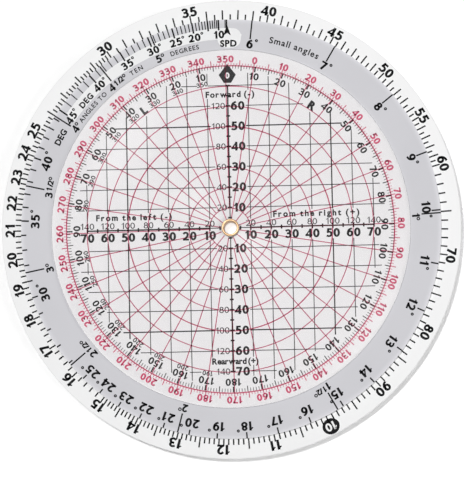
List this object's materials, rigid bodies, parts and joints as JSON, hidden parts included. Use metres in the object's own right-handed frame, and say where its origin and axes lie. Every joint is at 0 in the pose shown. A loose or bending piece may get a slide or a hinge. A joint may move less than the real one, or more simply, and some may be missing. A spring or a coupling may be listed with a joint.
{
  "type": "circular slide rule",
  "caption": "Two-sided circular slide rule: laminated printed discs and a clear compass-rose disc turn on a hollow brass eyelet, with a clear cursor arm on the rear.",
  "frame": {"origin": "on the eyelet's axis, at the surface that the eyelet's rolled rear end rests on", "axes": "+Z along the eyelet, from the calculator side to the wind side; +Y towards the top of the wind side as pictured; +X to its right"},
  "size_m": [0.1016, 0.1016, 0.0045],
  "materials": {
    "white_vinyl": "white vinyl sheet, satin",
    "white_face": "printed white vinyl face sheet, satin varnish",
    "grey_face": "white vinyl face sheet with a printed grey ring, satin varnish",
    "clear_sheet": "clear plastic sheet, smooth",
    "brass": "bright brass, lightly worn",
    "slip_plastic": "thin plastic washer, matt"
  },
  "bodies": {
    "base": {"base_core": "white_vinyl", "base_front_face": "white_face", "base_rear_face": "white_face", "eyelet": "brass", "clinch_washer": "brass", "front_slip_washer": "slip_plastic", "rear_slip_washer": "slip_plastic", "cursor_slip_washer": "slip_plastic"},
    "wind_disc": {"wind_disc_core": "white_vinyl", "wind_disc_front_face": "grey_face", "wind_disc_rear_face": "white_face"},
    "rose": {"rose_disc": "clear_sheet"},
    "calculator_disc": {"calculator_disc_core": "white_vinyl", "calculator_disc_outer_face": "white_face", "calculator_disc_inner_face": "white_face"},
    "cursor_arm": {"cursor": "clear_sheet"}
  },
  "joints": [
    {"name": "wind_disc_turn", "type": "hinge", "parent": "base", "child": "wind_disc", "pos_m": [0, 0, 0.00335], "axis": [0, 0, 1], "continuous": true},
    {"name": "rose_turn", "type": "hinge", "parent": "base", "child": "rose", "pos_m": [0, 0, 0.00385], "axis": [0, 0, 1], "continuous": true},
    {"name": "calculator_disc_turn", "type": "hinge", "parent": "base", "child": "calculator_disc", "pos_m": [0, 0, 0.00179], "axis": [0, 0, 1], "continuous": true},
    {"name": "cursor_turn", "type": "hinge", "parent": "base", "child": "cursor_arm", "pos_m": [0, 0, 0.00103], "axis": [0, 0, 1], "continuous": true}
  ]
}
